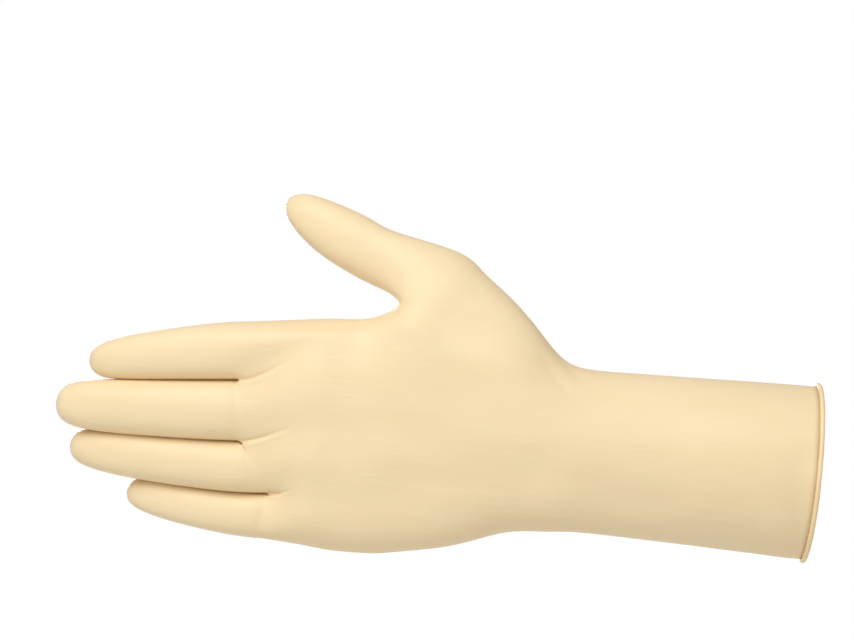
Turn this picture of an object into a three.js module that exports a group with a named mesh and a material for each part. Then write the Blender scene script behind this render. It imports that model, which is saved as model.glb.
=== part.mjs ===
// A long-cuff disposable glove for a left hand, in the full, slightly curled form that it has
// when it is worn. The real glove is one dipped film, so it is one hollow solid here too: thumb,
// four fingers, palm, wrist and cuff in one wall, ending in a rolled bead round the opening.
//
// Frame, in millimetres: the origin is the centre of the cuff opening, +X leaves the glove
// midway between the line of the fingers and that of the arm, +Z is the thumb side, and the back
// of the hand faces -Y.
//
// The form is a cage of quads. A ring of points is given for each cross-section, the cage is
// fitted so that its smooth surface runs through those points, and one step of Catmull-Clark
// subdivision gives the outer skin. The inner skin is the outer one moved inwards by the wall.
import * as THREE from "three";

// Cuff and wrist
const CUFF_WIDTH = 68;
const CUFF_DEPTH = 58;
const CUFF_LENGTH = 90.6; // from the opening to the wrist, along the arm
const CUFF_TILT = 5.5; // degrees that the arm leans from the line of the fingers
const FINGER_TURN = 3; // degrees that the line of the fingers leans from X
const WRIST_WIDTH = 64.4;
const WRIST_DEPTH = 45;
const WALL = 1;
const BEAD = 2.2; // diameter of the rolled edge

// Hand
const HAND_LENGTH = 135.7; // from the wrist to the finger roots
const HAND_DEPTH = 29.6; // through the knuckles
const HAND_ARCH = 7; // how far the little-finger side curves round towards the palm
const PALM_HOLLOW = 2.5;
const KNUCKLE = 1.2; // height of the knuckles over the valleys between them
const FINGER_GAP = 0.5; // between fingers that are held together
const WEB_SPLAY = 4; // how far a web's two faces run back from its edge

// Fingers
const INDEX_LENGTH = 60.6;
const INDEX_WIDTH = 22.9;
const INDEX_DEPTH = 20.6;
const MIDDLE_LENGTH = 74;
const MIDDLE_WIDTH = 24.2;
const MIDDLE_DEPTH = 21.6;
const RING_LENGTH = 74;
const RING_WIDTH = 20.7;
const RING_DEPTH = 20;
const LITTLE_LENGTH = 55.4;
const LITTLE_WIDTH = 18.2;
const LITTLE_DEPTH = 17;

// Thumb
const THUMB_LENGTH = 63.3; // from its root section to its tip
const THUMB_WIDTH = 23.2;
const THUMB_DEPTH = 20.5;
const THUMB_ANGLE = 29; // degrees from the line of the fingers
const THUMB_BOW = 2.2; // sideways bend of its centre line
const THUMB_FORWARD = 4; // how far its root lies towards the palm
const THUMB_CURL = 7; // how much further its tip lies towards the palm

// The fingers from the thumb side. slim is how much narrower each gets towards its tip, lean how
// far the tip leans to the thumb side and curl how far it drops to the palm side, the last two as
// shares of the finger's length.
const FINGERS = [
  { length: INDEX_LENGTH, width: INDEX_WIDTH, depth: INDEX_DEPTH, slim: 0.38, lean: -0.072, curl: 0.15 },
  { length: MIDDLE_LENGTH, width: MIDDLE_WIDTH, depth: MIDDLE_DEPTH, slim: 0.215, lean: 0.034, curl: 0.14 },
  { length: RING_LENGTH, width: RING_WIDTH, depth: RING_DEPTH, slim: 0.2, lean: 0.112, curl: 0.17 },
  { length: LITTLE_LENGTH, width: LITTLE_WIDTH, depth: LITTLE_DEPTH, slim: 0.26, lean: 0.175, curl: 0.17 },
];
const PALM_WIDTH = FINGERS.reduce((sum, finger) => sum + finger.width, 0);

// Sections of the arm: how far from the opening to the wrist, and how much of the cuff's flare.
const ARM_ROWS = [
  { along: 0, flare: 1 },
  { along: 0.24, flare: 0.86 },
  { along: 0.52, flare: 0.45 },
  { along: 0.79, flare: 0.12 },
  { along: 1, flare: 0 },
];

// Sections of the hand up to the crotch of the thumb. Each runs from the thumb edge, over the
// valley beside the thumb's root, to the little-finger edge. Reaches are shares of the hand's
// length and rises shares of the palm's width, both from the middle of the wrist. thick goes from
// 0, the depth at the knuckles, to 1, the wrist's, and left is the share of it left in the valley.
const HAND_ROWS = [
  { thumb: [0.063, 0.428], valley: [0.088, 0.33], little: [0.116, -0.37], thick: 0.93, left: 1 },
  { thumb: [0.139, 0.572], valley: [0.175, 0.384], little: [0.218, -0.372], thick: 0.83, left: 1 },
  { thumb: [0.218, 0.712], valley: [0.28, 0.466], little: [0.32, -0.41], thick: 0.71, left: 0.98 },
  { thumb: [0.293, 0.824], valley: [0.4, 0.575], little: [0.422, -0.445], thick: 0.57, left: 0.93 },
  { thumb: [0.369, 0.916], valley: [0.51, 0.672], little: [0.538, -0.464], thick: 0.42, left: 0.76 },
];
const THUMB_CROTCH = [0.543, 0.684];

// Sections of the palm from the crotch of the thumb to the knuckles.
const PALM_ROWS = [
  { index: [0.612, 0.612], little: [0.625, -0.472], thick: 0.26 },
  { index: [0.713, 0.607], little: [0.741, -0.458], thick: 0.13 },
  { index: [0.82, 0.603], little: [0.815, -0.437], thick: 0 },
];

// The line of the finger roots: the index edge, the three webs and the little-finger edge.
const ROOT_REACH = [0.995, 1, 0.998, 0.923, 0.935];
const ROOT_RISE = 0.594; // rise of the index edge there

// Cross-sections along a finger and along the thumb, from root to tip: place, width and depth.
const FINGER_RINGS = [
  { at: 0.09, width: 1, depth: 1 },
  { at: 0.27, width: 1, depth: 1 },
  { at: 0.5, width: 1, depth: 1 },
  { at: 0.72, width: 1, depth: 0.99 },
  { at: 0.87, width: 0.92, depth: 0.92 },
  { at: 0.957, width: 0.68, depth: 0.68 },
];
const THUMB_RINGS = [
  { at: 0.28, width: 1, depth: 1 },
  { at: 0.475, width: 0.985, depth: 0.96 },
  { at: 0.665, width: 0.915, depth: 0.9 },
  { at: 0.82, width: 0.75, depth: 0.76 },
  { at: 0.94, width: 0.48, depth: 0.5 },
];

const SLIM_POWER = 1.5; // how late a finger narrows
const LEAN_POWER = 1.5;
const CURL_POWER = 1.8;
const PALM_DRIFT = 0.15; // how far the valleys of the palm run back towards the thumb side
const ARM_SHAPE = 2; // exponents of the cross-sections: 2 is an ellipse, more is squarer
const PALM_SHAPE = 2.6;
const DIGIT_SHAPE = 2.35;
const WEB_LIFT = 0.8; // how near a web's face on the back comes to the finger's own depth
const WEB_DROP = 0.6; // the same on the palm
const COLUMNS = 12; // half a ring of the arm
const VALLEY_COLUMN = 3; // the column that runs into the crotch of the thumb
const FIT_STEPS = 24;

const points = [];
const quads = [];
const radians = THREE.MathUtils.degToRad;
const mix = THREE.MathUtils.lerp;

// A point at a reach from the opening towards the fingertips, a rise towards the thumb side and
// a lift towards the back of the hand.
const at = (reach, rise, lift) => new THREE.Vector3(-reach, -lift, rise);

function addPoint(point) {
  points.push(point);
  return points.length - 1;
}

// Quads between two rings of point numbers that run the same way round, the first nearer the
// opening.
function bridge(near, far) {
  near.forEach((corner, i) => {
    const next = (i + 1) % near.length;
    quads.push([corner, far[i], far[next], near[next]]);
  });
}

// How thick a cross-section is at a share of its width, from 0 at either edge to 1.
function fullness(share, shape) {
  return (1 - Math.abs(2 * share - 1) ** shape) ** (1 / shape);
}

// Shares of the palm's width at the columns, from the first finger's middle to the last web:
// finger, web, finger and so on, and then the corner of the last finger.
function palmShares(drift) {
  const webs = [0];
  FINGERS.forEach((finger) => webs.push(webs.at(-1) + finger.width / PALM_WIDTH));
  const edges = webs.map((web, i) => (i % 4 ? web - drift * (1 - web) : web));
  const shares = [];
  for (let i = 0; i < 4; i += 1) {
    shares.push((edges[i] + edges[i + 1]) / 2, edges[i + 1]);
  }
  const corner = (1 - Math.SQRT1_2) / 2;
  shares[7] = 1 - corner * (1 - edges[3]);
  return shares;
}

const wrist = at(
  CUFF_LENGTH * Math.cos(radians(CUFF_TILT)),
  CUFF_LENGTH * Math.sin(radians(CUFF_TILT)),
  0,
);
const handReach = (share) => -wrist.x + share * HAND_LENGTH;
const handRise = (share) => wrist.z + share * PALM_WIDTH;

// How far the palm's arch carries a point back towards the palm side.
const archAt = (reachShare, palmShare) => HAND_ARCH * reachShare ** 1.5 * palmShare ** 2;

function armRing(row) {
  const along = Math.max(row.along * CUFF_LENGTH, BEAD);
  const tilt = radians(CUFF_TILT);
  const halfWidth = mix(WRIST_WIDTH, CUFF_WIDTH, row.flare) / 2;
  const halfDepth = mix(WRIST_DEPTH, CUFF_DEPTH, row.flare) / 2;
  const ring = [];
  for (let i = 0; i < 2 * COLUMNS; i += 1) {
    const turn = (i * Math.PI) / COLUMNS;
    const across = halfWidth * Math.cos(turn);
    const reach = along * Math.cos(tilt) - across * Math.sin(tilt);
    const rise = along * Math.sin(tilt) + across * Math.cos(tilt);
    ring.push(addPoint(at(reach, rise, halfDepth * Math.sin(turn))));
  }
  return ring;
}

// Share of the row's full width at an arm column.
const armShare = (column) => (1 - Math.cos((column * Math.PI) / COLUMNS)) / 2;

function handRing(row, i) {
  const spread = (i + 1) / HAND_ROWS.length;
  const half = mix(HAND_DEPTH, WRIST_DEPTH, row.thick) / 2;
  const shape = mix(ARM_SHAPE, PALM_SHAPE, spread);
  const valleyShare = armShare(VALLEY_COLUMN);
  const palm = palmShares(PALM_DRIFT);
  const toValley = Math.hypot(row.thumb[0] - row.valley[0], row.thumb[1] - row.valley[1]);
  const toLittle = Math.hypot(row.little[0] - row.valley[0], row.little[1] - row.valley[1]);
  const front = [];
  const back = [];
  for (let column = 0; column <= COLUMNS; column += 1) {
    const onThumb = column <= VALLEY_COLUMN;
    let share = armShare(column) / valleyShare;
    if (!onThumb) {
      share = (armShare(column) - valleyShare) / (1 - valleyShare);
      const own = column < COLUMNS ? palm[column - VALLEY_COLUMN - 1] : 1;
      share = mix(share, own, spread);
    }
    const [from, to] = onThumb ? [row.thumb, row.valley] : [row.valley, row.little];
    const reach = handReach(mix(from[0], to[0], share));
    const rise = handRise(mix(from[1], to[1], share));
    const walked = onThumb ? share * toValley : toValley + share * toLittle;
    const full = fullness(walked / (toValley + toLittle), shape);
    const left = column === VALLEY_COLUMN ? row.left : 1;
    const forward = onThumb ? THUMB_FORWARD * spread * (1 - share) : archAt(row.little[0], share);
    const hollow = onThumb ? 0 : PALM_HOLLOW * spread * Math.sin(Math.PI * share) ** 2;
    front.push(at(reach, rise, half * full * left - forward));
    back.push(at(reach, rise, -(half * full * left - hollow) - forward));
  }
  return closeRing(front, back);
}

// The ring of two faces that share their first and last points.
function closeRing(front, back) {
  const inner = back.slice(1, -1).reverse();
  return [...front, ...inner].map(addPoint);
}

function palmRing(row, i) {
  const half = mix(HAND_DEPTH, WRIST_DEPTH, row.thick) / 2;
  const shares = [0, (FINGERS[0].width / PALM_WIDTH) * armShare(VALLEY_COLUMN)];
  shares.push(...palmShares(PALM_DRIFT), 1);
  const knuckle = (KNUCKLE * (i + 1)) / PALM_ROWS.length;
  const hollow = (PALM_HOLLOW * (PALM_ROWS.length - i)) / (PALM_ROWS.length + 1);
  const front = [];
  const back = [];
  shares.forEach((share, column) => {
    const reachShare = mix(row.index[0], row.little[0], share);
    const rise = handRise(mix(row.index[1], row.little[1], share));
    const full = fullness(share, PALM_SHAPE);
    const inside = column > 1 && column < shares.length - 2;
    const bump = inside ? (column % 2 ? -knuckle : knuckle) / 2 : 0;
    const forward = archAt(reachShare, share);
    const dish = hollow * Math.sin(Math.PI * share) ** 2;
    front.push(at(handReach(reachShare), rise, half * full + bump - forward));
    back.push(at(handReach(reachShare), rise, -(half * full - dish) - forward));
  });
  return closeRing(front, back);
}

// The cosine and sine of a turn, pushed out to a digit's section, which is fuller than an ellipse.
function roundSquare(turn) {
  const sum = Math.abs(Math.cos(turn)) ** DIGIT_SHAPE + Math.abs(Math.sin(turn)) ** DIGIT_SHAPE;
  const size = sum ** (-1 / DIGIT_SHAPE);
  return [size * Math.cos(turn), size * Math.sin(turn)];
}

// The rings of a digit and its closed tip, from the ring that it grows out of. centre(share) is
// its centre line, and side the direction of its width.
function addDigit(root, rings, centre, side, width, depth) {
  const step = 0.01;
  let last = root;
  rings.forEach((ring) => {
    const middle = centre(ring.at);
    const tangent = centre(ring.at + step).sub(centre(ring.at - step)).normalize();
    const across = side.clone().addScaledVector(tangent, -side.dot(tangent)).normalize();
    const up = new THREE.Vector3().crossVectors(across, tangent);
    const next = root.map((_, i) => {
      const [sideways, upwards] = roundSquare((i * 2 * Math.PI) / root.length);
      const point = middle.clone().addScaledVector(across, (width(ring) / 2) * sideways);
      return addPoint(point.addScaledVector(up, (depth(ring) / 2) * upwards));
    });
    bridge(last, next);
    last = next;
  });
  const tip = addPoint(centre(1));
  for (let i = 0; i < last.length; i += 2) {
    quads.push([last[(i + 2) % last.length], last[i + 1], last[i], tip]);
  }
}

// The line of finger roots: one ring for each finger, neighbours sharing the points of their web.
function fingerRoots(lastPalmRing) {
  const front = [];
  const back = [];
  const webs = [];
  const corner = armShare(VALLEY_COLUMN);
  let edge = handRise(ROOT_RISE);
  FINGERS.forEach((finger, i) => {
    const share = (handRise(ROOT_RISE) - edge + finger.width / 2) / PALM_WIDTH;
    finger.root = at(
      handReach((ROOT_REACH[i] + ROOT_REACH[i + 1]) / 2),
      edge - finger.width / 2,
      -archAt(1, share),
    );
    edge -= finger.width;
  });
  const edgeLift = (i) => {
    const near = FINGERS[Math.max(i - 1, 0)].root.y;
    const far = FINGERS[Math.min(i, 3)].root.y;
    return -(near + far) / 2;
  };
  FINGERS.forEach((finger, i) => {
    const reach = handReach(ROOT_REACH[i]);
    const rise = finger.root.z + finger.width / 2;
    const half = finger.depth / 2;
    webs.push(at(reach, rise, edgeLift(i)));
    const splay = i ? WEB_SPLAY : 0;
    const drop = i ? 0 : corner * finger.width;
    const lift = half * (i ? WEB_LIFT : Math.SQRT1_2);
    const sink = half * (i ? WEB_DROP : Math.SQRT1_2);
    front.push(at(reach - splay, rise - drop, edgeLift(i) + lift));
    back.push(at(reach - splay, rise - drop, edgeLift(i) - sink));
    front.push(finger.root.clone().add(at(0, 0, half)));
    back.push(finger.root.clone().add(at(0, 0, -half)));
  });
  const last = FINGERS[3];
  const reach = handReach(ROOT_REACH[4]);
  const low = last.root.z - last.width / 2;
  const half = (last.depth / 2) * Math.SQRT1_2;
  webs.push(at(reach, low, edgeLift(4)));
  front.push(at(reach, low + corner * last.width, edgeLift(4) + half));
  back.push(at(reach, low + corner * last.width, edgeLift(4) - half));

  const webPoints = webs.map(addPoint);
  const frontPoints = front.map(addPoint);
  const backPoints = back.map(addPoint);
  bridge(lastPalmRing, [
    webPoints[0],
    ...frontPoints,
    webPoints[4],
    ...backPoints.slice().reverse(),
  ]);
  return FINGERS.map((_, i) => [
    webPoints[i],
    ...frontPoints.slice(2 * i, 2 * i + 3),
    webPoints[i + 1],
    ...backPoints.slice(2 * i, 2 * i + 3).reverse(),
  ]);
}

function addFinger(finger, root) {
  const side = at(0, 1, 0);
  const lean = finger.lean * finger.length;
  const curl = finger.curl * finger.length;
  const centre = (share) =>
    finger.root.clone().add(
      at(share * finger.length, lean * share ** LEAN_POWER, -curl * share ** CURL_POWER),
    );
  const slim = (ring) => 1 - finger.slim * ring.at ** SLIM_POWER;
  const width = (ring) => finger.width * slim(ring) * ring.width - FINGER_GAP;
  const depth = (ring) => finger.depth * slim(ring) * ring.depth - FINGER_GAP;
  addDigit(root, FINGER_RINGS, centre, side, width, depth);
}

function addThumb(root) {
  const turn = radians(THUMB_ANGLE);
  const axis = at(Math.cos(turn), Math.sin(turn), 0);
  const side = at(-Math.sin(turn), Math.cos(turn), 0);
  const start = points[root[0]].clone().add(points[root[4]]).multiplyScalar(0.5);
  const centre = (share) =>
    start
      .clone()
      .addScaledVector(axis, share * THUMB_LENGTH)
      .addScaledVector(side, -4 * THUMB_BOW * share * (1 - share))
      .add(at(0, 0, -THUMB_CURL * share));
  const width = (ring) => THUMB_WIDTH * ring.width;
  const depth = (ring) => THUMB_DEPTH * ring.depth;
  addDigit(root, THUMB_RINGS, centre, side, width, depth);
}

function buildCage() {
  const rings = [...ARM_ROWS.map(armRing), ...HAND_ROWS.map(handRing)];
  rings.slice(1).forEach((ring, i) => bridge(rings[i], ring));
  const split = rings.at(-1);
  const crotch = addPoint(
    at(handReach(THUMB_CROTCH[0]), handRise(THUMB_CROTCH[1]), -THUMB_FORWARD / 4),
  );
  const valley = VALLEY_COLUMN;
  addThumb([...split.slice(0, valley + 1), crotch, ...split.slice(-valley)]);
  const palmRings = [[crotch, ...split.slice(valley, split.length - valley + 1)]];
  palmRings.push(...PALM_ROWS.map(palmRing));
  palmRings.slice(1).forEach((ring, i) => bridge(palmRings[i], ring));
  const roots = fingerRoots(palmRings.at(-1));
  FINGERS.forEach((finger, i) => addFinger(finger, roots[i]));
}

// The quads round each point, each as its next, opposite and previous corners.
function starsOf(mesh) {
  const stars = mesh.points.map(() => []);
  mesh.quads.forEach((quad) =>
    quad.forEach((corner, i) =>
      stars[corner].push([quad[(i + 1) % 4], quad[(i + 2) % 4], quad[(i + 3) % 4]]),
    ),
  );
  return stars;
}

// A point's two neighbours along the open edge, or null inside the surface.
function rimNeighbours(star) {
  const seen = new Map();
  star.forEach(([next, , previous]) =>
    [next, previous].forEach((end) => seen.set(end, (seen.get(end) || 0) + 1)),
  );
  const rim = [...seen].filter(([, times]) => times === 1).map(([end]) => end);
  return rim.length ? rim : null;
}

// Where each cage point comes to lie on the smooth surface.
function limitPoints(mesh, stars) {
  return mesh.points.map((point, i) => {
    const sum = new THREE.Vector3();
    const rim = rimNeighbours(stars[i]);
    if (rim) {
      rim.forEach((end) => sum.add(mesh.points[end]));
      return sum.addScaledVector(point, 4).divideScalar(6);
    }
    const count = stars[i].length;
    stars[i].forEach(([next, opposite, previous]) => {
      sum.addScaledVector(mesh.points[next], 2).addScaledVector(mesh.points[previous], 2);
      sum.add(mesh.points[opposite]);
    });
    return sum.addScaledVector(point, count * count).divideScalar(count * (count + 5));
  });
}

// Moves the cage until its smooth surface runs through the points that it was given.
function fitCage(mesh) {
  const stars = starsOf(mesh);
  const wanted = mesh.points.map((point) => point.clone());
  for (let step = 0; step < FIT_STEPS; step += 1) {
    const reached = limitPoints(mesh, stars);
    mesh.points.forEach((point, i) => point.add(wanted[i]).sub(reached[i]));
  }
}

// One step of Catmull-Clark subdivision.
function subdivide(mesh) {
  const stars = starsOf(mesh);
  const middles = mesh.quads.map((quad) =>
    quad.reduce((sum, corner) => sum.add(mesh.points[corner]), new THREE.Vector3()).divideScalar(4),
  );
  const finer = mesh.points.map((point, i) => {
    const rim = rimNeighbours(stars[i]);
    const sum = new THREE.Vector3();
    if (rim) {
      rim.forEach((end) => sum.add(mesh.points[end]));
      return sum.addScaledVector(point, 6).divideScalar(8);
    }
    const count = stars[i].length;
    stars[i].forEach(([next, opposite, previous]) => {
      sum.addScaledVector(mesh.points[next], 1.5).addScaledVector(mesh.points[previous], 1.5);
      sum.addScaledVector(mesh.points[opposite], 0.5);
    });
    sum.divideScalar(2 * count * count);
    return sum.addScaledVector(point, 1 - 7 / (4 * count));
  });
  const edges = new Map();
  mesh.quads.forEach((quad, face) =>
    quad.forEach((corner, i) => {
      const next = quad[(i + 1) % 4];
      const key = `${Math.min(corner, next)}_${Math.max(corner, next)}`;
      if (!edges.has(key)) {
        edges.set(key, { ends: [corner, next], faces: [] });
      }
      edges.get(key).faces.push(face);
    }),
  );
  edges.forEach((edge) => {
    const sum = mesh.points[edge.ends[0]].clone().add(mesh.points[edge.ends[1]]);
    if (edge.faces.length === 2) {
      edge.faces.forEach((face) => sum.add(middles[face]));
    }
    edge.point = finer.length;
    finer.push(sum.divideScalar(2 * edge.faces.length));
  });
  const edgePoint = (a, b) => edges.get(`${Math.min(a, b)}_${Math.max(a, b)}`).point;
  const smaller = [];
  mesh.quads.forEach((quad, face) => {
    const middle = finer.length;
    finer.push(middles[face]);
    quad.forEach((corner, i) => {
      const before = edgePoint(quad[(i + 3) % 4], corner);
      smaller.push([corner, edgePoint(corner, quad[(i + 1) % 4]), middle, before]);
    });
  });
  return { points: finer, quads: smaller };
}

function normalsOf(mesh) {
  const normals = mesh.points.map(() => new THREE.Vector3());
  mesh.quads.forEach((quad) => {
    const [a, b, c, d] = quad.map((corner) => mesh.points[corner]);
    const normal = c.clone().sub(a).cross(d.clone().sub(b));
    quad.forEach((corner) => normals[corner].add(normal));
  });
  return normals.map((normal) => normal.normalize());
}

// The open edge of a mesh as a loop of point numbers, in the order of its quads' edges.
function rimLoop(mesh) {
  const used = new Set();
  mesh.quads.forEach((quad) => quad.forEach((a, i) => used.add(`${a}_${quad[(i + 1) % 4]}`)));
  const after = new Map();
  used.forEach((edge) => {
    const [a, b] = edge.split("_");
    if (!used.has(`${b}_${a}`)) {
      after.set(Number(a), Number(b));
    }
  });
  const loop = [after.keys().next().value];
  while (after.get(loop.at(-1)) !== loop[0]) {
    loop.push(after.get(loop.at(-1)));
  }
  return loop;
}

// The bead: rings from the outer skin round the rolled edge to the inner skin.
const BEAD_TURNS = [100, 55, 10, -35, -80, -125, -165]; // degrees from straight outwards

function shellGeometry(skin) {
  const normals = normalsOf(skin);
  const count = skin.points.length;
  const inner = skin.points.map((point, i) => point.clone().addScaledVector(normals[i], -WALL));
  const all = [...skin.points, ...inner];
  const faces = skin.quads.slice();
  skin.quads.forEach((quad) => faces.push(quad.map((corner) => corner + count).reverse()));

  const loop = rimLoop(skin);
  const tilt = radians(CUFF_TILT);
  const arm = at(-Math.cos(tilt), -Math.sin(tilt), 0);
  const radius = BEAD / 2;
  let last = loop;
  const ringTo = (next) => {
    loop.forEach((_, i) => {
      const j = (i + 1) % loop.length;
      faces.push([last[j], last[i], next[i], next[j]]);
    });
    last = next;
  };
  BEAD_TURNS.forEach((degrees) => {
    const turn = radians(degrees);
    const ring = loop.map((corner) => {
      const outwards = normals[corner].clone().addScaledVector(arm, -normals[corner].dot(arm));
      outwards.normalize();
      const centre = skin.points[corner].clone().addScaledVector(outwards, radius - WALL);
      centre.addScaledVector(arm, radius);
      const point = centre.addScaledVector(outwards, radius * Math.cos(turn));
      all.push(point.addScaledVector(arm, -radius * Math.sin(turn)));
      return all.length - 1;
    });
    ringTo(ring);
  });
  ringTo(loop.map((corner) => corner + count));

  const geometry = new THREE.BufferGeometry().setFromPoints(all);
  geometry.setIndex(faces.flatMap(([a, b, c, d]) => [a, b, c, a, c, d]));
  geometry.computeVertexNormals();
  return geometry;
}

buildCage();
const cage = { points, quads };
fitCage(cage);
const smooth = subdivide(cage);
const skin = { points: limitPoints(smooth, starsOf(smooth)), quads: smooth.quads };

const film = new THREE.MeshStandardMaterial({ color: 0xf4dfb6, roughness: 0.55, metalness: 0 });
const glove = new THREE.Mesh(shellGeometry(skin), film);
glove.name = "glove";
glove.rotation.y = radians(-FINGER_TURN);

const group = new THREE.Group();
group.add(glove);
export default group;
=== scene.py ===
"""Looks of a long-cuff disposable exam glove, left hand, in its worn form.

The film is one mesh: a cage of quads is fitted to the glove's sections, smoothed by subdivision,
creased at the finger webs, dented at the palm and the wrist, and given its thickness. The rolled
bead at the cuff is a mesh of its own. Lengths are millimetres until finish_piece, in the glove's
own frame: X out of the cuff, Z to the thumb side, -Y to the back of the hand.
"""
import math

import bmesh
import bpy
import numpy as np
from mathutils import Matrix, Vector


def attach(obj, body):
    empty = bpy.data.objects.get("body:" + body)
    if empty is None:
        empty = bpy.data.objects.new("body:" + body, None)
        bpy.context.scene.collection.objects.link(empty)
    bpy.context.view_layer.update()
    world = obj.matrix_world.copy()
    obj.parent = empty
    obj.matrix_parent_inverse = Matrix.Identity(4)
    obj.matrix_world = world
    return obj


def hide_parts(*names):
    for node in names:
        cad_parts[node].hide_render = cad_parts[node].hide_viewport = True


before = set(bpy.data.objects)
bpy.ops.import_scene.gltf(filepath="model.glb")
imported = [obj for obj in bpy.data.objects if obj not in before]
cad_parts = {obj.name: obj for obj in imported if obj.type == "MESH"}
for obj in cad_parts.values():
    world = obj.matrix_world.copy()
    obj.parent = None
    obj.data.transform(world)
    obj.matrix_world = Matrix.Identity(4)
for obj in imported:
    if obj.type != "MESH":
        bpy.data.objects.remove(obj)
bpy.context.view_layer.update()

MM = 0.001

# Cuff and wrist
CUFF_WIDTH = 68
CUFF_DEPTH = 58
CUFF_LENGTH = 90.6
CUFF_TILT = math.radians(5.5)
FINGER_TURN = math.radians(3)
WRIST_WIDTH = 64.4
WRIST_DEPTH = 45

# The film's thickness and the bead's. The bead's middle lies beyond the film's edge by a share of
# the bead's radius, and waves round the rim make it uneven: height, count and start of each.
FILM = 0.35
BEAD = 1.9
BEAD_BEYOND = 0.9
BEAD_WAVES = [(0.035, 3, 0.7), (0.025, 11, 0), (0.015, 29, 2)]
BEAD_SIDES = 14

# Hand
HAND_LENGTH = 135.7
HAND_DEPTH = 29.6
HAND_ARCH = 7
ARCH_REACH_POWER = 1.5
ARCH_RISE_POWER = 2
PALM_HOLLOW = 2.5
KNUCKLE = 1.2

# Thumb
THUMB_LENGTH = 63.3
THUMB_WIDTH = 23.2
THUMB_DEPTH = 20.5
THUMB_ANGLE = math.radians(29)
THUMB_BOW = 2.2
THUMB_FORWARD = 4
THUMB_CURL = 7
CROTCH_FORWARD = THUMB_FORWARD / 4

# Fingers from the thumb side: length, width, depth, how much each slims, leans and curls.
FINGERS = [
    {"length": 62, "width": 22.9, "depth": 20.6, "slim": 0.38, "lean": -0.074, "curl": 0.15},
    {"length": 76.7, "width": 24.2, "depth": 21.6, "slim": 0.215, "lean": 0.034, "curl": 0.14},
    {"length": 76.7, "width": 20.7, "depth": 20, "slim": 0.2, "lean": 0.112, "curl": 0.17},
    {"length": 56.8, "width": 18.2, "depth": 17, "slim": 0.26, "lean": 0.175, "curl": 0.17},
]
PALM_WIDTH = sum(finger["width"] for finger in FINGERS)

# Sections of the arm: share of the way from the opening to the wrist, share of the cuff's flare.
ARM_ROWS = [(0, 1), (0.24, 0.86), (0.52, 0.45), (0.79, 0.12), (1, 0)]

# Sections of the hand up to the crotch of the thumb, as (reach, rise) shares of the hand's length
# and the palm's width at the thumb edge, the valley beside the thumb and the little-finger edge.
# thick is how near each comes to the wrist's depth, and left what the valley keeps of its depth.
HAND_COLUMNS = ("thumb", "valley", "little", "thick", "left")
HAND_ROWS = [dict(zip(HAND_COLUMNS, row)) for row in (
    ((0.063, 0.428), (0.088, 0.33), (0.116, -0.37), 0.93, 1),
    ((0.139, 0.572), (0.175, 0.384), (0.218, -0.372), 0.83, 1),
    ((0.218, 0.712), (0.28, 0.466), (0.32, -0.41), 0.71, 0.98),
    ((0.293, 0.824), (0.4, 0.575), (0.422, -0.445), 0.57, 0.93),
    ((0.369, 0.916), (0.51, 0.672), (0.538, -0.464), 0.42, 0.76),
)]
THUMB_CROTCH = (0.543, 0.684)

# Sections of the palm from the crotch of the thumb to the knuckles.
PALM_ROWS = [
    {"index": (0.612, 0.612), "little": (0.625, -0.472), "thick": 0.26},
    {"index": (0.713, 0.607), "little": (0.741, -0.458), "thick": 0.13},
    {"index": (0.82, 0.603), "little": (0.815, -0.437), "thick": 0},
]

# Where the fingers begin: the reach at the index finger's free side, the three webs and the little
# finger's free side, and the rise at the index finger's free side.
ROOT_REACH = [0.995, 0.98, 0.978, 0.903, 0.935]
ROOT_RISE = 0.594

# Neighbouring fingers press into each other by FINGER_PRESS. At a web the film bulges forward by
# WEB_BULGE and its two faces by WEB_RUN. These stand off the fingers' middle by WEB_LIFT of half
# the finger's depth on the back, and by WEB_DROP of it on the palm side.
FINGER_PRESS = 0.2
WEB_BULGE = 3
WEB_RUN = 1.5
WEB_LIFT = 0.72
WEB_DROP = 0.6

# Sections of a finger and of the thumb from root to tip: place, and shares of width and depth.
FINGER_RINGS = [
    (0.09, 1, 1),
    (0.27, 1, 1),
    (0.5, 1, 1),
    (0.72, 1, 0.99),
    (0.87, 0.92, 0.92),
    (0.957, 0.68, 0.68),
]
THUMB_RINGS = [
    (0.28, 1, 1),
    (0.475, 0.985, 0.96),
    (0.665, 0.915, 0.9),
    (0.82, 0.75, 0.76),
    (0.94, 0.48, 0.5),
]

# How the fingers slim, lean and curl along their length, how far the palm's columns drift from
# the webs to the thumb side, and how full the sections are, from 2 for an ellipse upwards.
SLIM_POWER = 1.5
LEAN_POWER = 1.5
CURL_POWER = 1.8
PALM_DRIFT = 0.15
ARM_SHAPE = 2
PALM_SHAPE = 2.6
DIGIT_SHAPE = 2.35

# The cage's columns from the thumb edge to the other, the one beside the thumb, and the rounds
# that fit and smooth the cage.
COLUMNS = 12
VALLEY_COLUMN = 3
FIT_STEPS = 24
SUBDIVISIONS = 3

# Folds are drawn through CURVE_STEPS points. The mesh is split within REFINE_REACHES of them where
# it doesn't face away by more than REFINE_FACING. They start WEB_START beyond their web, fade from
# FADE_FROM of their length, and fade as the film turns from one end of FACING to the other. A lip
# lies LIP_PLACE widths to the fold's left and is LIP_SPREAD widths broad.
CURVE_STEPS = 24
REFINE_REACHES = (4, 2)
REFINE_FACING = 0.2
WEB_START = 2
FADE_FROM = 0.3
FACING = (-0.1, 0.35)
LIP_PLACE = 1.7
LIP_SPREAD = 0.8

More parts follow.
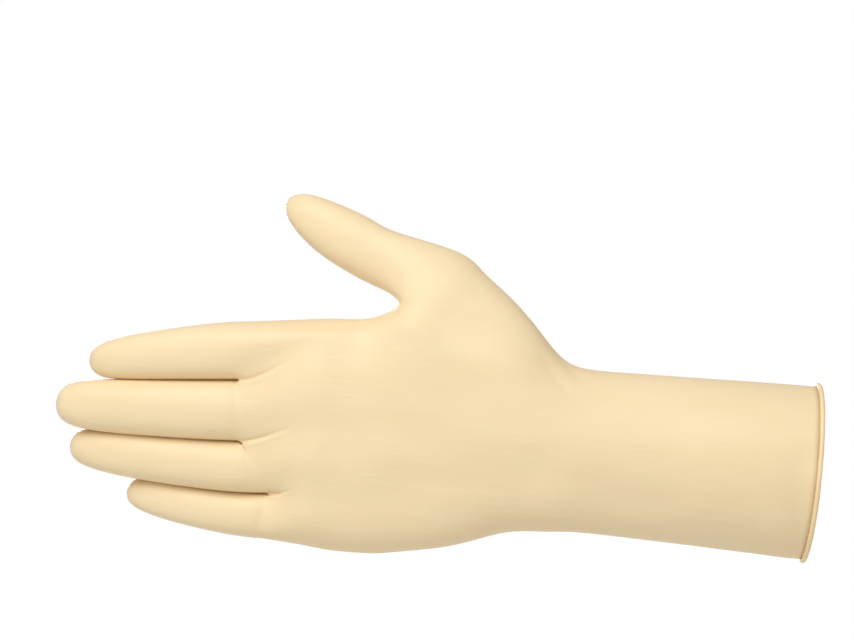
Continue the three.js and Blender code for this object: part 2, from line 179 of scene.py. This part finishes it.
# The film's look: two creams in soft clouds, satin, with the flow marks of dipping and a fine
# grain. Noise scales are per metre, those of clouds and flow marks along X, Y and Z.
CREAM = (0.868, 0.685, 0.428)
CREAM_DEEP = (0.833, 0.643, 0.388)
CREAM_SPAN = (0.3, 0.7)
FILM_SHADER = {
    "Specular IOR Level": 0.35,
    "Subsurface Weight": 0.1,
    "Subsurface Radius": (1, 0.62, 0.3),
    "Subsurface Scale": 0.0015,
}
FILM_ROUGHNESS = (0.42, 0.56)
CLOUD_SCALE = (12, 60, 60)
FLOW_SCALE = (60, 450, 450)
GRAIN_SCALE = 1600
FLOW_BUMP = {"Strength": 0.22, "Distance": 0.0005}
GRAIN_BUMP = {"Strength": 0.1, "Distance": 0.00008}

# The view: the frame is 854 pixels wide, the cuff's opening shows at ORIGIN_PIXEL, and the length
# of the glove sets the size of a pixel.
PIXEL = 0.3946
FRAME_PIXELS = (854, 640)
ORIGIN_PIXEL = (812.5, 473)
CAMERA_SENSOR = 36
CAMERA_AWAY = 1200
CAMERA_LENS = CAMERA_SENSOR * CAMERA_AWAY / (FRAME_PIXELS[0] * PIXEL)
CAMERA_PLACE = (
    (FRAME_PIXELS[0] / 2 - ORIGIN_PIXEL[0]) * PIXEL,
    -CAMERA_AWAY,
    (ORIGIN_PIXEL[1] - FRAME_PIXELS[1] / 2) * PIXEL,
)
CAMERA_CLIP = 20

# The studio, in metres. Lamps: name, place, size and power.
GLOVE_MIDDLE = (-0.15, 0, 0.03)
FLOOR_HEIGHT = -0.2
FLOOR_SIZE = (2.6, 1.8)
FLOOR_COLOUR = (0.82, 0.82, 0.81)
FLOOR_ROUGHNESS = 0.7
AMBIENT = 0.475
AMBIENT_COLOUR = (1, 0.995, 0.985)
LAMPS = [
    ("key", (-0.5, -0.9, 0.9), 0.9, 12.8),
    ("palm_fill", (-0.6, 1.3, 0.12), 0.5, 9.5),
]


def at(reach, rise, lift):
    """A point by its reach to the fingertips, rise to the thumb side and lift to the back."""
    return np.array([-reach, -lift, rise], dtype=float)


def mix(low, high, share):
    return low + (high - low) * share


def unit(vector):
    return vector / np.linalg.norm(vector)


class Cage:
    """Quads round the glove's sections, first coarse, then fitted to them."""

    def __init__(self):
        self.points = []
        self.quads = []

    def add(self, point):
        self.points.append(np.array(point, dtype=float))
        return len(self.points) - 1

    def bridge(self, near, far):
        for i, corner in enumerate(near):
            after = (i + 1) % len(near)
            self.quads.append((corner, far[i], far[after], near[after]))


def fullness(share, shape):
    """How far a section stands out, as a share of its most, at a share of its width."""
    return max(1 - abs(2 * share - 1) ** shape, 0) ** (1 / shape)


def arm_share(column):
    """The share of the width at which a column of a round section lies."""
    return (1 - math.cos(column * math.pi / COLUMNS)) / 2


def palm_shares():
    """Shares of the palm's width: each finger's middle and far side, the last a little short."""
    webs = [0]
    for finger in FINGERS:
        webs.append(webs[-1] + finger["width"] / PALM_WIDTH)
    inner = [web - PALM_DRIFT * (1 - web) for web in webs[1:-1]]
    edges = [webs[0], *inner, webs[-1]]
    shares = []
    for near, far in zip(edges, edges[1:]):
        shares += [(near + far) / 2, far]
    corner = (1 - math.sqrt(0.5)) / 2
    shares[-1] = 1 - corner * (1 - inner[-1])
    return shares


WRIST_REACH = CUFF_LENGTH * math.cos(CUFF_TILT)
WRIST_RISE = CUFF_LENGTH * math.sin(CUFF_TILT)


def hand_reach(share):
    return WRIST_REACH + share * HAND_LENGTH


def hand_rise(share):
    return WRIST_RISE + share * PALM_WIDTH


def arch_at(reach_share, palm_share):
    """How far the hand bends to the palm side, towards the fingers and the little finger."""
    return HAND_ARCH * reach_share ** ARCH_REACH_POWER * palm_share ** ARCH_RISE_POWER


def arm_ring(cage, place, flare):
    along = max(place * CUFF_LENGTH, BEAD)
    half_width = mix(WRIST_WIDTH, CUFF_WIDTH, flare) / 2
    half_depth = mix(WRIST_DEPTH, CUFF_DEPTH, flare) / 2
    ring = []
    for i in range(2 * COLUMNS):
        turn = i * math.pi / COLUMNS
        across = half_width * math.cos(turn)
        reach = along * math.cos(CUFF_TILT) - across * math.sin(CUFF_TILT)
        rise = along * math.sin(CUFF_TILT) + across * math.cos(CUFF_TILT)
        ring.append(cage.add(at(reach, rise, half_depth * math.sin(turn))))
    return ring


def close_ring(cage, front, back):
    """One ring from two rows of points that share their first and last."""
    return [cage.add(point) for point in front + back[-2:0:-1]]


def hand_ring(cage, row, i):
    spread = (i + 1) / len(HAND_ROWS)
    half = mix(HAND_DEPTH, WRIST_DEPTH, row["thick"]) / 2
    shape = mix(ARM_SHAPE, PALM_SHAPE, spread)
    valley_share = arm_share(VALLEY_COLUMN)
    palm = palm_shares()
    to_valley = math.dist(row["thumb"], row["valley"])
    to_little = math.dist(row["little"], row["valley"])
    front, back = [], []
    for column in range(COLUMNS + 1):
        on_thumb = column <= VALLEY_COLUMN
        share = arm_share(column) / valley_share
        if not on_thumb:
            share = (arm_share(column) - valley_share) / (1 - valley_share)
            own = palm[column - VALLEY_COLUMN - 1] if column < COLUMNS else 1
            share = mix(share, own, spread)
        start, end = ("thumb", "valley") if on_thumb else ("valley", "little")
        reach = hand_reach(mix(row[start][0], row[end][0], share))
        rise = hand_rise(mix(row[start][1], row[end][1], share))
        walked = share * to_valley if on_thumb else to_valley + share * to_little
        full = fullness(walked / (to_valley + to_little), shape)
        left = row["left"] if column == VALLEY_COLUMN else 1
        forward = arch_at(row["little"][0], share)
        hollow = PALM_HOLLOW * spread * math.sin(math.pi * share) ** 2
        if on_thumb:
            forward = THUMB_FORWARD * spread * (1 - share)
            hollow = 0
        front.append(at(reach, rise, half * full * left - forward))
        back.append(at(reach, rise, -(half * full * left - hollow) - forward))
    return close_ring(cage, front, back)


def palm_ring(cage, row, i):
    half = mix(HAND_DEPTH, WRIST_DEPTH, row["thick"]) / 2
    first = FINGERS[0]["width"] / PALM_WIDTH * arm_share(VALLEY_COLUMN)
    shares = [0, first] + palm_shares() + [1]
    knuckle = KNUCKLE * (i + 1) / len(PALM_ROWS)
    hollow = PALM_HOLLOW * (len(PALM_ROWS) - i) / (len(PALM_ROWS) + 1)
    front, back = [], []
    for column, share in enumerate(shares):
        reach_share = mix(row["index"][0], row["little"][0], share)
        rise = hand_rise(mix(row["index"][1], row["little"][1], share))
        full = fullness(share, PALM_SHAPE)
        inside = 1 < column < len(shares) - 2
        bump = (-knuckle if column % 2 else knuckle) / 2 if inside else 0
        forward = arch_at(reach_share, share)
        dish = hollow * math.sin(math.pi * share) ** 2
        front.append(at(hand_reach(reach_share), rise, half * full + bump - forward))
        back.append(at(hand_reach(reach_share), rise, -(half * full - dish) - forward))
    return close_ring(cage, front, back)


def round_square(turn):
    """The cosine and sine of a turn, pushed out to a fuller section than an ellipse."""
    across, upwards = math.cos(turn), math.sin(turn)
    size = (abs(across) ** DIGIT_SHAPE + abs(upwards) ** DIGIT_SHAPE) ** (-1 / DIGIT_SHAPE)
    return across * size, upwards * size


def add_digit(cage, root, rings, centre, side, width, depth):
    """A finger or the thumb: its rings along the line that centre gives, closed at the tip."""
    step = 0.01
    last = root
    for place, width_share, depth_share in rings:
        tangent = unit(centre(place + step) - centre(place - step))
        across = unit(side - tangent * side.dot(tangent))
        up = np.cross(across, tangent)
        wide, deep = width(place, width_share), depth(place, depth_share)
        following = []
        for i in range(len(root)):
            sideways, upwards = round_square(i * 2 * math.pi / len(root))
            point = centre(place) + across * wide / 2 * sideways
            following.append(cage.add(point + up * deep / 2 * upwards))
        cage.bridge(last, following)
        last = following
    tip = cage.add(centre(1))
    for i in range(0, len(last), 2):
        cage.quads.append((last[(i + 2) % len(last)], last[i + 1], last[i], tip))


def finger_roots(cage, palm_end):
    """Joins the palm to the ring of points round each finger's root, and gives these rings."""
    full = 0.5 ** (1 / DIGIT_SHAPE)
    corner = (1 - full) / 2
    edge = hand_rise(ROOT_RISE)
    for i, finger in enumerate(FINGERS):
        share = (hand_rise(ROOT_RISE) - edge + finger["width"] / 2) / PALM_WIDTH
        reach = hand_reach((ROOT_REACH[i] + ROOT_REACH[i + 1]) / 2)
        finger["root"] = at(reach, edge - finger["width"] / 2, -arch_at(1, share))
        edge -= finger["width"]

    def edge_lift(i):
        """The lift halfway between the fingers on both sides of edge i, or of the only one."""
        beside = FINGERS[max(i - 1, 0):i + 1]
        return -sum(finger["root"][1] for finger in beside) / len(beside)

    webs, front, back = [], [], []
    for i, finger in enumerate(FINGERS):
        reach = hand_reach(ROOT_REACH[i])
        rise = finger["root"][2] + finger["width"] / 2
        half = finger["depth"] / 2
        webs.append(at(reach + (WEB_BULGE if i else 0), rise, edge_lift(i)))
        run = WEB_RUN if i else 0
        drop = 0 if i else corner * finger["width"]
        lift = half * (WEB_LIFT if i else full)
        sink = half * (WEB_DROP if i else full)
        front.append(at(reach + run, rise - drop, edge_lift(i) + lift))
        back.append(at(reach + run, rise - drop, edge_lift(i) - sink))
        front.append(finger["root"] + at(0, 0, half))
        back.append(finger["root"] + at(0, 0, -half))
    last = FINGERS[-1]
    reach = hand_reach(ROOT_REACH[-1])
    low = last["root"][2] - last["width"] / 2
    half = last["depth"] / 2 * full
    lift = edge_lift(len(FINGERS))
    webs.append(at(reach, low, lift))
    front.append(at(reach, low + corner * last["width"], lift + half))
    back.append(at(reach, low + corner * last["width"], lift - half))

    webs = [cage.add(point) for point in webs]
    front = [cage.add(point) for point in front]
    back = [cage.add(point) for point in back]
    cage.bridge(palm_end, [webs[0]] + front + [webs[-1]] + back[::-1])
    roots = []
    for i in range(len(FINGERS)):
        underside = back[2 * i:2 * i + 3][::-1]
        roots.append([webs[i]] + front[2 * i:2 * i + 3] + [webs[i + 1]] + underside)
    return roots


def add_finger(cage, finger, root):
    length = finger["length"]
    lean = finger["lean"] * length
    curl = finger["curl"] * length

    def centre(place):
        sideways = lean * place ** LEAN_POWER
        return finger["root"] + at(place * length, sideways, -curl * place ** CURL_POWER)

    def slim(place):
        return 1 - finger["slim"] * place ** SLIM_POWER

    def width(place, share):
        return finger["width"] * slim(place) * share + FINGER_PRESS

    def depth(place, share):
        return finger["depth"] * slim(place) * share + FINGER_PRESS

    add_digit(cage, root, FINGER_RINGS, centre, at(0, 1, 0), width, depth)


def add_thumb(cage, root):
    axis = at(math.cos(THUMB_ANGLE), math.sin(THUMB_ANGLE), 0)
    side = at(-math.sin(THUMB_ANGLE), math.cos(THUMB_ANGLE), 0)
    start = (cage.points[root[0]] + cage.points[root[4]]) / 2

    def centre(place):
        bow = -4 * THUMB_BOW * place * (1 - place)
        return start + axis * place * THUMB_LENGTH + side * bow + at(0, 0, -THUMB_CURL * place)

    def width(place, share):
        return THUMB_WIDTH * share

    def depth(place, share):
        return THUMB_DEPTH * share

    add_digit(cage, root, THUMB_RINGS, centre, side, width, depth)


def bridge_all(cage, rings):
    for near, far in zip(rings, rings[1:]):
        cage.bridge(near, far)


def build_cage():
    cage = Cage()
    rings = [arm_ring(cage, *row) for row in ARM_ROWS]
    rings += [hand_ring(cage, row, i) for i, row in enumerate(HAND_ROWS)]
    bridge_all(cage, rings)
    split = rings[-1]
    valley = VALLEY_COLUMN
    crotch_reach, crotch_rise = hand_reach(THUMB_CROTCH[0]), hand_rise(THUMB_CROTCH[1])
    crotch = cage.add(at(crotch_reach, crotch_rise, -CROTCH_FORWARD))
    add_thumb(cage, split[:valley + 1] + [crotch] + split[-valley:])
    rings = [[crotch] + split[valley:len(split) - valley + 1]]
    rings += [palm_ring(cage, row, i) for i, row in enumerate(PALM_ROWS)]
    bridge_all(cage, rings)
    for finger, root in zip(FINGERS, finger_roots(cage, rings[-1])):
        add_finger(cage, finger, root)
    return cage


def fit_cage(cage):
    """Moves the cage until its smooth surface runs through the points that it was given.

    The weights are those of a Catmull-Clark surface, which say where each point of a cage of
    quads comes to lie, inside the cage and along its open rim.
    """
    count = len(cage.points)
    valence = np.bincount(np.array(cage.quads).ravel(), minlength=count)
    weights = np.zeros((count, count))
    uses = {}
    for quad in cage.quads:
        for i, corner in enumerate(quad):
            after, across, before = (quad[(i + k) % 4] for k in (1, 2, 3))
            weights[corner, after] += 2
            weights[corner, before] += 2
            weights[corner, across] += 1
            key = (min(corner, after), max(corner, after))
            uses[key] = uses.get(key, 0) + 1
    for i in range(count):
        weights[i, i] = valence[i] ** 2
        weights[i] /= valence[i] * (valence[i] + 5)
    rim = {}
    for (a, b), times in uses.items():
        if times == 1:
            rim.setdefault(a, []).append(b)
            rim.setdefault(b, []).append(a)
    for i, ends in rim.items():
        weights[i] = 0
        weights[i, i] = 4 / 6
        for end in ends:
            weights[i, end] = 1 / 6
    wanted = np.array(cage.points)
    points = wanted.copy()
    for _ in range(FIT_STEPS):
        points += wanted - weights @ points
    cage.points = list(points)


def new_object(name, points, faces):
    mesh = bpy.data.meshes.new(name)
    mesh.from_pydata([tuple(point) for point in points], [], faces)
    mesh.update()
    piece = bpy.data.objects.new(name, mesh)
    bpy.context.collection.objects.link(piece)
    return piece


def bake_modifiers(piece):
    """Replaces the piece's mesh by what its modifiers make of it."""
    graph = bpy.context.evaluated_depsgraph_get()
    mesh = bpy.data.meshes.new_from_object(piece.evaluated_get(graph))
    old = piece.data
    piece.modifiers.clear()
    piece.data = mesh
    bpy.data.meshes.remove(old)


def read_vectors(items, field):
    flat = np.empty(len(items) * 3)
    items.foreach_get(field, flat)
    return flat.reshape(-1, 3)


def read_points(mesh):
    return read_vectors(mesh.vertices, "co")


def read_normals(mesh):
    return read_vectors(mesh.vertex_normals, "vector")


def smooth_skin():
    """The outer skin in its smooth form, in millimetres, with the cuff end open."""
    cage = build_cage()
    fit_cage(cage)
    skin = new_object("glove_film", cage.points, cage.quads)
    subsurf = skin.modifiers.new("smooth", "SUBSURF")
    subsurf.levels = SUBDIVISIONS
    subsurf.boundary_smooth = "ALL"
    bake_modifiers(skin)
    return skin


def fold(start, bend, end, depth, width, lip=0.0, palm=False):
    return {
        "line": [np.array(point, dtype=float) for point in (start, bend, end)],
        "depth": depth,
        "width": width,
        "lip": lip,
        "palm": palm,
    }


def from_web(i, bend, end, depth, width, lip=0.0, palm=False):
    """A fold that starts at web i, with its bend and its end measured from there."""
    edge = hand_rise(ROOT_RISE) - sum(finger["width"] for finger in FINGERS[:i])
    start = np.array([hand_reach(ROOT_REACH[i]) + WEB_START, edge])
    return fold(start, start + bend, start + end, depth, width, lip, palm)


# Folds in the film. Each is a line on the back or the palm, in the plane of the hand: its start,
# a point that bends it and its end, as reach and rise in millimetres. depth is how deep it cuts,
# width how fast it fades to its sides, and lip the height of the soft ridge on its left.
FOLDS = [
    from_web(1, (-7, 0.4), (-22, 9.8), 1.3, 0.9, 0.35),
    from_web(2, (-7, 0.4), (-23, 7.4), 1.3, 0.9, 0.35),
    from_web(3, (-4, -0.3), (-11, 2.4), 1.1, 0.8, 0.35),
    from_web(3, (-4, -0.5), (-11, -1.2), 0.6, 0.8),
    from_web(1, (-5, 9), (1, 21), 0.8, 1.1, palm=True),
    from_web(2, (-5, 9), (0, 21), 0.8, 1.1, palm=True),
    from_web(3, (-4, 8), (2, 19), 0.8, 1.1, palm=True),
    from_web(1, (-4, -9), (1, -21), 0.6, 1.1, palm=True),
    from_web(3, (-4, -7), (1, -15), 0.7, 1.1, palm=True),
]

# Broad, shallow dents in the same terms, or soft ridges where the depth is negative.
DENTS = [
    fold((112, -2), (140, 4), (168, -8), 0.9, 9),
    fold((60, -10), (85, -8), (108, 2), 0.8, 8),
    fold((10, -34), (24, -12), (46, 6), -0.7, 7),
    fold((6, -26), (10, -12), (8, 4), 0.6, 5),
    fold((178, 30), (165, 18), (150, 12), 0.6, 7),
    fold((164, 34), (138, 16), (108, 10), 1.1, 8, palm=True),
    fold((206, 26), (198, 4), (190, -26), 0.7, 6, palm=True),
    fold((88, 22), (99, 28), (115, 37), -0.5, 2.2, palm=True),
    fold((91, 16), (103, 24), (118, 32), 0.4, 3, palm=True),
    fold((104, 50), (99, 44), (92, 38), 0.3, 1.6),
    fold((107, 47), (104, 39), (98, 33), 0.3, 1.7),
]


def curve_points(line):
    start, bend, end = line
    shares = np.linspace(0, 1, CURVE_STEPS)[:, None]
    return (1 - shares) ** 2 * start + 2 * shares * (1 - shares) * bend + shares ** 2 * end


def distance_to_fold(points, one):
    """For each point its signed distance from the fold's line and its share of the way along."""
    plane = np.stack([-points[:, 0], points[:, 2]], axis=1)
    path = curve_points(one["line"])
    best = np.full(len(plane), np.inf)
    signed = np.full(len(plane), np.inf)
    along = np.zeros(len(plane))
    for i, (a, b) in enumerate(zip(path, path[1:])):
        step = b - a
        share = np.clip((plane - a) @ step / (step @ step), 0, 1)
        off = plane - (a + share[:, None] * step)
        size = np.hypot(off[:, 0], off[:, 1])
        nearer = size < best
        best[nearer] = size[nearer]
        side = np.where(step[0] * off[:, 1] > step[1] * off[:, 0], -1, 1)
        signed[nearer] = (size * side)[nearer]
        along[nearer] = ((i + share) / (CURVE_STEPS - 1))[nearer]
    return signed, along


def towards(one, sides):
    """How far each normal, given by its Y, points to the fold's side of the glove."""
    return sides if one["palm"] else -sides


def refine_folds(skin):
    """Splits the quads near the folds, once for each reach, so that they can hold a crease."""
    for reach in REFINE_REACHES:
        mesh = bmesh.new()
        mesh.from_mesh(skin.data)
        centres = np.array([face.calc_center_median() for face in mesh.faces])
        sides = np.array([face.normal.y for face in mesh.faces])
        near = np.zeros(len(centres), dtype=bool)
        for one in FOLDS:
            distance, _ = distance_to_fold(centres, one)
            near |= (np.abs(distance) < reach) & (towards(one, sides) > -REFINE_FACING)
        mesh.faces.index_update()
        edges = [e for e in mesh.edges if any(near[face.index] for face in e.link_faces)]
        bmesh.ops.subdivide_edges(mesh, edges=edges, cuts=1, use_grid_fill=True, smooth=1.0)
        uneven = [face for face in mesh.faces if len(face.verts) > 4]
        bmesh.ops.triangulate(mesh, faces=uneven)
        mesh.to_mesh(skin.data)
        mesh.free()


def smoothstep(values, low, high):
    share = np.clip((values - low) / (high - low), 0, 1)
    return share * share * (3 - 2 * share)


def fold_film(skin):
    """Moves the skin along its normals, by its folds and its dents."""
    points = read_points(skin.data)
    normals = read_normals(skin.data)
    lift = np.zeros(len(points))
    for one in FOLDS:
        distance, along = distance_to_fold(points, one)
        facing = smoothstep(towards(one, normals[:, 1]), *FACING)
        fade = (1 - smoothstep(along, FADE_FROM, 1)) * facing
        cut = np.exp(-np.abs(distance) / one["width"])
        ridge = np.exp(-((distance / one["width"] + LIP_PLACE) / LIP_SPREAD) ** 2)
        lift += fade * (one["lip"] * ridge - one["depth"] * cut)
    for one in DENTS:
        distance, _ = distance_to_fold(points, one)
        facing = smoothstep(towards(one, normals[:, 1]), *FACING)
        lift -= one["depth"] * np.exp(-(distance / one["width"]) ** 2) * facing
    points = points + normals * lift[:, None]
    skin.data.vertices.foreach_set("co", points.ravel())
    skin.data.update()


def rim_loop(mesh):
    """The open edge of the cuff, as point numbers in order."""
    shape = bmesh.new()
    shape.from_mesh(mesh)
    links = {}
    for edge in shape.edges:
        if edge.is_boundary:
            a, b = (corner.index for corner in edge.verts)
            links.setdefault(a, []).append(b)
            links.setdefault(b, []).append(a)
    shape.free()
    first = min(links)
    loop = [first, links[first][0]]
    while True:
        a, b = links[loop[-1]]
        following = b if a == loop[-2] else a
        if following == first:
            return loop
        loop.append(following)


def add_bead(skin):
    """The rolled edge: a ring of round section along the rim, a little uneven as rolled film is."""
    points = read_points(skin.data)
    normals = read_normals(skin.data)
    loop = rim_loop(skin.data)
    arm = at(-math.cos(CUFF_TILT), -math.sin(CUFF_TILT), 0)
    radius = BEAD / 2
    rings = []
    for i, corner in enumerate(loop):
        turn = i / len(loop) * 2 * math.pi
        uneven = sum(height * math.sin(count * turn + start) for height, count, start in BEAD_WAVES)
        size = radius * (1 + uneven)
        outwards = unit(normals[corner] - arm * normals[corner].dot(arm))
        centre = points[corner] + outwards * (radius - FILM) + arm * radius * BEAD_BEYOND
        for side in range(BEAD_SIDES):
            angle = side / BEAD_SIDES * 2 * math.pi
            rings.append(centre + outwards * size * math.cos(angle) - arm * size * math.sin(angle))
    faces = []
    for i in range(len(loop)):
        here, following = i * BEAD_SIDES, (i + 1) % len(loop) * BEAD_SIDES
        for side in range(BEAD_SIDES):
            after = (side + 1) % BEAD_SIDES
            faces.append((here + side, here + after, following + after, following + side))
    bead = new_object("cuff_bead", rings, faces)
    shape = bmesh.new()
    shape.from_mesh(bead.data)
    bmesh.ops.recalc_face_normals(shape, faces=shape.faces)
    shape.to_mesh(bead.data)
    shape.free()
    return bead


def thicken(skin):
    """Gives the film its thickness, inwards from the outer skin."""
    solid = skin.modifiers.new("film", "SOLIDIFY")
    solid.thickness = FILM
    solid.offset = -1
    bake_modifiers(skin)


def glove_turn():
    """The turn that brings the middle finger's line in with X."""
    return Matrix.Rotation(-FINGER_TURN, 4, "Y")


def finish_piece(piece, material):
    piece.data.transform(Matrix.Scale(MM, 4) @ glove_turn())
    piece.data.materials.append(material)
    for polygon in piece.data.polygons:
        polygon.use_smooth = True
    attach(piece, "root")


def add_node(tree, kind, inputs):
    node = tree.nodes.new(kind)
    for name, value in inputs.items():
        node.inputs[name].default_value = value
    return node


def new_material(name, inputs):
    """A material, its tree and its shader, with the shader's inputs set."""
    material = bpy.data.materials.new(name)
    material.use_nodes = True
    shader = material.node_tree.nodes["Principled BSDF"]
    for key, value in inputs.items():
        shader.inputs[key].default_value = value
    return material, material.node_tree, shader


def film_material():
    """Natural cream film: satin, slightly translucent, with the faint flow marks of dipping."""
    material, tree, shader = new_material("natural_nitrile_film", FILM_SHADER)
    link = tree.links.new
    place = add_node(tree, "ShaderNodeTexCoord", {}).outputs["Object"]

    def stretched(scale):
        mapping = add_node(tree, "ShaderNodeMapping", {"Scale": scale})
        link(place, mapping.inputs["Vector"])
        return mapping.outputs["Vector"]

    def noise(vector, scale, detail, roughness):
        inputs = {"Scale": scale, "Detail": detail, "Roughness": roughness}
        texture = add_node(tree, "ShaderNodeTexNoise", inputs)
        link(vector, texture.inputs["Vector"])
        return texture.outputs["Fac"]

    clouds = noise(stretched(CLOUD_SCALE), scale=1, detail=4, roughness=0.55)
    tint = add_node(tree, "ShaderNodeValToRGB", {})
    for stop, place_on, colour in zip(tint.color_ramp.elements, CREAM_SPAN, (CREAM_DEEP, CREAM)):
        stop.position = place_on
        stop.color = (*colour, 1)
    link(clouds, tint.inputs["Fac"])
    link(tint.outputs["Color"], shader.inputs["Base Color"])

    low, high = FILM_ROUGHNESS
    gloss = add_node(tree, "ShaderNodeMapRange", {"To Min": low, "To Max": high})
    link(clouds, gloss.inputs["Value"])
    link(gloss.outputs["Result"], shader.inputs["Roughness"])

    marks = noise(stretched(FLOW_SCALE), scale=1, detail=3, roughness=0.5)
    grain = noise(place, scale=GRAIN_SCALE, detail=2, roughness=0.5)
    coarse = add_node(tree, "ShaderNodeBump", FLOW_BUMP)
    fine = add_node(tree, "ShaderNodeBump", GRAIN_BUMP)
    link(marks, coarse.inputs["Height"])
    link(grain, fine.inputs["Height"])
    link(coarse.outputs["Normal"], fine.inputs["Normal"])
    link(fine.outputs["Normal"], shader.inputs["Normal"])
    return material


def add_floor():
    """A pale floor below the glove, which is held up."""
    width, depth = FLOOR_SIZE
    corners = [(x * width / 2, y * depth / 2, 0) for x, y in ((-1, -1), (1, -1), (1, 1), (-1, 1))]
    floor = new_object("floor", corners, [(0, 1, 2, 3)])
    floor.location = (GLOVE_MIDDLE[0], 0, FLOOR_HEIGHT)
    inputs = {"Base Color": (*FLOOR_COLOUR, 1), "Roughness": FLOOR_ROUGHNESS}
    floor.data.materials.append(new_material("pale_floor", inputs)[0])


def add_lamp(name, place, size, power):
    light = bpy.data.lights.new(name, "AREA")
    light.shape = "DISK"
    light.size = size
    light.energy = power
    lamp = bpy.data.objects.new(name, light)
    bpy.context.collection.objects.link(lamp)
    lamp.location = place
    facing = Vector(GLOVE_MIDDLE) - Vector(place)
    lamp.rotation_euler = facing.to_track_quat("-Z", "Y").to_euler()


def add_world():
    """White all round for the camera, a little dimmer as a light."""
    world = bpy.data.worlds.new("studio")
    bpy.context.scene.world = world
    world.use_nodes = True
    tree = world.node_tree
    link = tree.links.new
    seen = tree.nodes["Background"]
    seen.inputs["Color"].default_value = (1, 1, 1, 1)
    seen.inputs["Strength"].default_value = 1
    inputs = {"Color": (*AMBIENT_COLOUR, 1), "Strength": AMBIENT}
    lit = add_node(tree, "ShaderNodeBackground", inputs)
    path = add_node(tree, "ShaderNodeLightPath", {})
    blend = add_node(tree, "ShaderNodeMixShader", {})
    link(path.outputs["Is Camera Ray"], blend.inputs["Fac"])
    link(lit.outputs["Background"], blend.inputs[1])
    link(seen.outputs["Background"], blend.inputs[2])
    link(blend.outputs["Shader"], tree.nodes["World Output"].inputs["Surface"])


def add_camera():
    """The photo's view: level with the glove, seen square on the back of the hand."""
    data = bpy.data.cameras.new("camera")
    camera = bpy.data.objects.new("camera", data)
    bpy.context.collection.objects.link(camera)
    data.lens = CAMERA_LENS
    data.sensor_width = CAMERA_SENSOR
    data.clip_end = CAMERA_CLIP
    level = Matrix.Rotation(math.radians(90), 4, "X")
    place = Matrix.Translation(Vector(CAMERA_PLACE) * MM)
    camera.matrix_world = glove_turn() @ place @ level
    bpy.context.scene.camera = camera


skin = smooth_skin()
refine_folds(skin)
fold_film(skin)
bead = add_bead(skin)
thicken(skin)
film = film_material()
for piece in (skin, bead):
    finish_piece(piece, film)
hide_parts("glove")

add_floor()
add_world()
for lamp in LAMPS:
    add_lamp(*lamp)
add_camera()
bpy.context.scene.view_settings.view_transform = "Standard"
